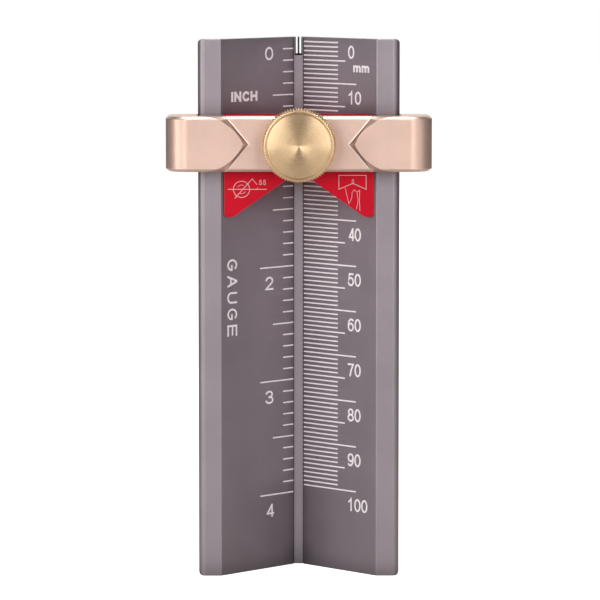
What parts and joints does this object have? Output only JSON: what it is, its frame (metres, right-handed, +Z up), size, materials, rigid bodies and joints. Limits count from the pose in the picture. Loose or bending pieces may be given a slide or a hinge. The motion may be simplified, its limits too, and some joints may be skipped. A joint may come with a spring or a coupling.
{
  "type": "marking gauge",
  "caption": "Marking gauge: a V-section aluminium rule with scales, and a sliding fence with a V shoe clamped by a knurled brass knob.",
  "frame": {"origin": "bottom end of the rule, midway between its flanges, in the middle of the wall at the bottom of the V (17.8 mm behind the flanges' front faces)", "axes": "+X across the rule to the user's right, +Y from the user into the V, +Z up along the rule to the scales' zero end"},
  "size_m": [0.058, 0.0312, 0.118],
  "materials": {
    "grey_anodised": "fine satin, anodised mid grey, scales filled with pale paint",
    "rose_anodised": "bead-blasted, anodised pale rose gold",
    "red_anodised": "satin, anodised red, with pale line pictograms",
    "knob_brass": "turned, fine concentric tool marks, coin-edge rim",
    "insert_brass": "turned",
    "steel": "bright, ground",
    "washer_polymer": "natural acetal",
    "scale_paint": "paint in the engraved lines and figures"
  },
  "bodies": {
    "rule": {"scale_channel": "grey_anodised"},
    "head": {"fence_head": "rose_anodised", "thread_insert": "insert_brass", "guide_pin_left": "steel", "guide_pin_right": "steel"},
    "shoe": {"v_shoe": "red_anodised", "thrust_washer": "washer_polymer"},
    "clamp": {"knob": "knob_brass", "clamp_screw": "steel", "retaining_clip": "steel"}
  },
  "joints": [
    {"name": "fence_slide", "type": "slide", "parent": "rule", "child": "head", "axis": [0, 0, 1], "range_m": [-0.083, 0.0165]},
    {"name": "clamp_travel", "type": "slide", "parent": "head", "child": "shoe", "axis": [0, -1, 0], "range_m": [0, 0.0007]},
    {"name": "knob_turn", "type": "hinge", "parent": "shoe", "child": "clamp", "pos_m": [0, -0.027, 0.0955], "axis": [0, -1, 0], "range_deg": [0, 360]}
  ],
  "couplings": [
    {"joint": "knob_turn", "follows": "clamp_travel", "rad_per_m": 8975}
  ]
}
